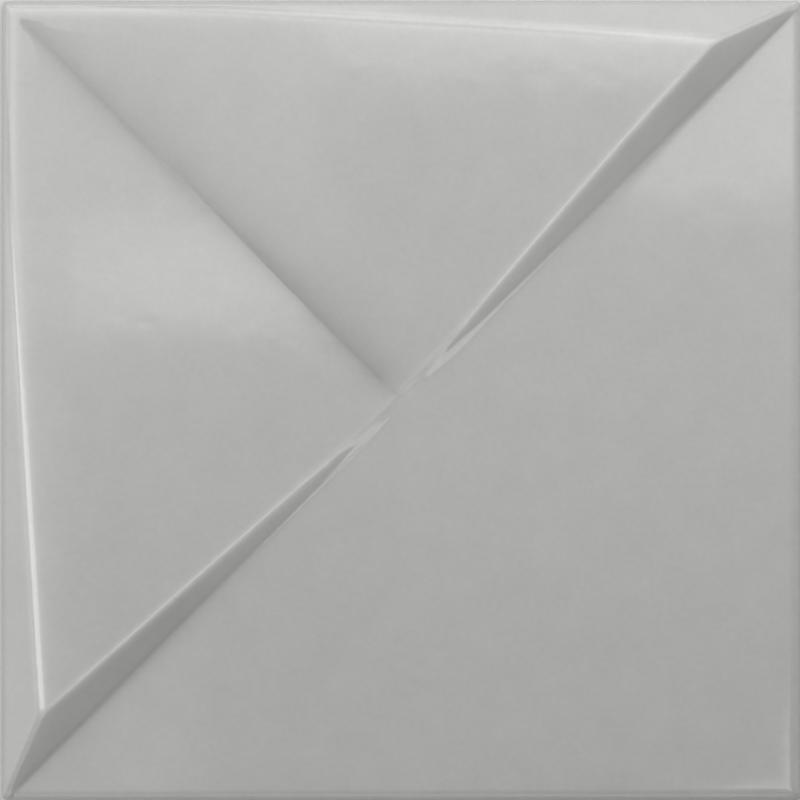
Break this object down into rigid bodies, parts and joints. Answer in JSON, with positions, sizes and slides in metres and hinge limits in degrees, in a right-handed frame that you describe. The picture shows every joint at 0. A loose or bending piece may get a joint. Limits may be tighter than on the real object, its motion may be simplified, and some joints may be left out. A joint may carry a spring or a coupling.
{
  "type": "wall tile",
  "caption": "Square glazed ceramic wall tile with two raised triangular folds along one diagonal and a flat half, for laying in patterns on a wall.",
  "frame": {"origin": "Centre of the bedding plane on the tile's back, where two ribs of the keyed back cross.", "axes": "+Z out of the glazed face, +X to the right and +Y up as the tile is seen on a wall in the picture; the tile is stored lying on its back."},
  "size_m": [0.15, 0.15, 0.0143],
  "materials": {
    "glaze": "glossy light grey glaze on a fired white clay body, bare on the sides' lower part and the back"
  },
  "bodies": {
    "root": {"wall_tile": "glaze"}
  },
  "joints": []
}
